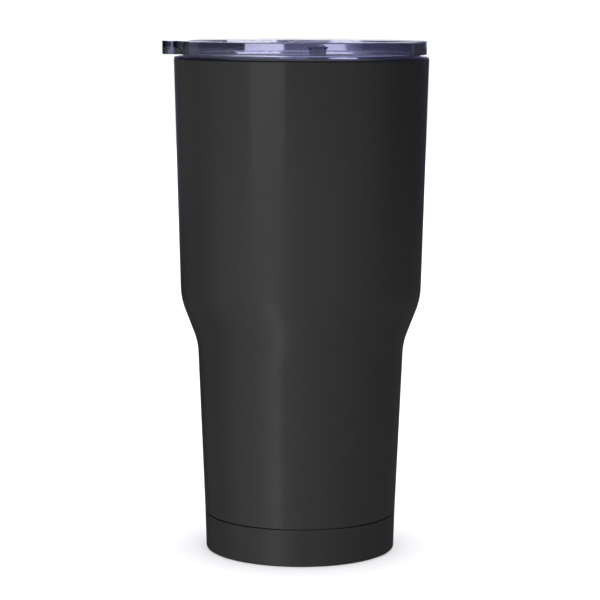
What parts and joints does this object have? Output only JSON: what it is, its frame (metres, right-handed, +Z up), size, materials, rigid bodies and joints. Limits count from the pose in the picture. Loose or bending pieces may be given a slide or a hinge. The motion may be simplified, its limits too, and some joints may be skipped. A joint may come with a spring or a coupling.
{
  "type": "insulated tumbler",
  "caption": "Tall tapered steel tumbler with vacuum double wall, stepped shoulder, and a clear press-in lid with thumb tab and sliding drink closure.",
  "frame": {"origin": "centre of the foot ring, on the cup's axis, at the level of the surface the cup stands on", "axes": "+Z up along the cup's axis; +X from the axis towards the drink opening; -X towards the thumb tab"},
  "size_m": [0.1059, 0.1016, 0.205],
  "materials": {
    "body_coating": "satin powder coat",
    "liner_steel": "brushed and electropolished",
    "bare_steel": "bare pressed sheet",
    "foil": "bright foil",
    "port_glass": "fused solder glass",
    "getter_metal": "sintered, porous",
    "lid_plastic": "clear moulded copolyester, faint blue-violet tint",
    "slider_plastic": "clear moulded copolyester",
    "silicone": "translucent silicone"
  },
  "bodies": {
    "cup": {"outer_shell": "body_coating", "base_cap": "body_coating", "inner_liner": "liner_steel", "liner_bottom": "liner_steel", "reflective_foil": "foil", "vacuum_plate": "bare_steel", "port_seal": "port_glass", "getter_cup": "bare_steel", "getter_pellet": "getter_metal"},
    "seal": {"lid_gasket": "silicone"},
    "lid": {"lid_body": "lid_plastic"},
    "slider": {"slider": "slider_plastic", "slider_seal": "silicone", "slider_retainer": "slider_plastic"}
  },
  "joints": [
    {"name": "lid_lift", "type": "slide", "parent": "cup", "child": "seal", "axis": [0, 0, 1], "range_m": [0, 0.06]},
    {"name": "lid_turn", "type": "hinge", "parent": "seal", "child": "lid", "pos_m": [0, 0, 0.19], "axis": [0, 0, 1], "continuous": true},
    {"name": "slider_slide", "type": "slide", "parent": "lid", "child": "slider", "axis": [1, 0, 0], "range_m": [0, 0.018]}
  ]
}
